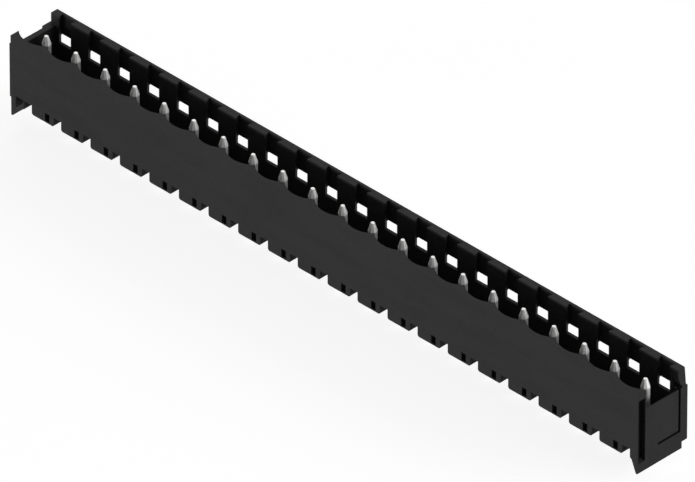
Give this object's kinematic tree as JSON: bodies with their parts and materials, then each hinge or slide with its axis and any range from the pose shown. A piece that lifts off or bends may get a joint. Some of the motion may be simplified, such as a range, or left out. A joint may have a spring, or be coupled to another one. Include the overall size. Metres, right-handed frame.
{
  "type": "pcb plug connector",
  "caption": "Long black board-mounted plug: an open trough with a scalloped front wall, a back wall with coding channels and a row of tapered solder pins.",
  "frame": {"origin": "middle of the row of pin axes, on the surface of the board", "axes": "+X along the row towards the end with the key slot, +Y towards the back wall with the coding channels, +Z away from the board"},
  "size_m": [0.1069, 0.0085, 0.0132],
  "materials": {
    "housing_plastic": "finely textured black moulding",
    "pin_tin": "bright tin plating, light grey"
  },
  "bodies": {
    "root": {"housing": "housing_plastic", "contact_pin_01": "pin_tin", "contact_pin_02": "pin_tin", "contact_pin_03": "pin_tin", "contact_pin_04": "pin_tin", "contact_pin_05": "pin_tin", "contact_pin_06": "pin_tin", "contact_pin_07": "pin_tin", "contact_pin_08": "pin_tin", "contact_pin_09": "pin_tin", "contact_pin_10": "pin_tin", "contact_pin_11": "pin_tin", "contact_pin_12": "pin_tin", "contact_pin_13": "pin_tin", "contact_pin_14": "pin_tin", "contact_pin_15": "pin_tin", "contact_pin_16": "pin_tin", "contact_pin_17": "pin_tin", "contact_pin_18": "pin_tin", "contact_pin_19": "pin_tin", "contact_pin_20": "pin_tin", "contact_pin_21": "pin_tin"}
  },
  "joints": []
}
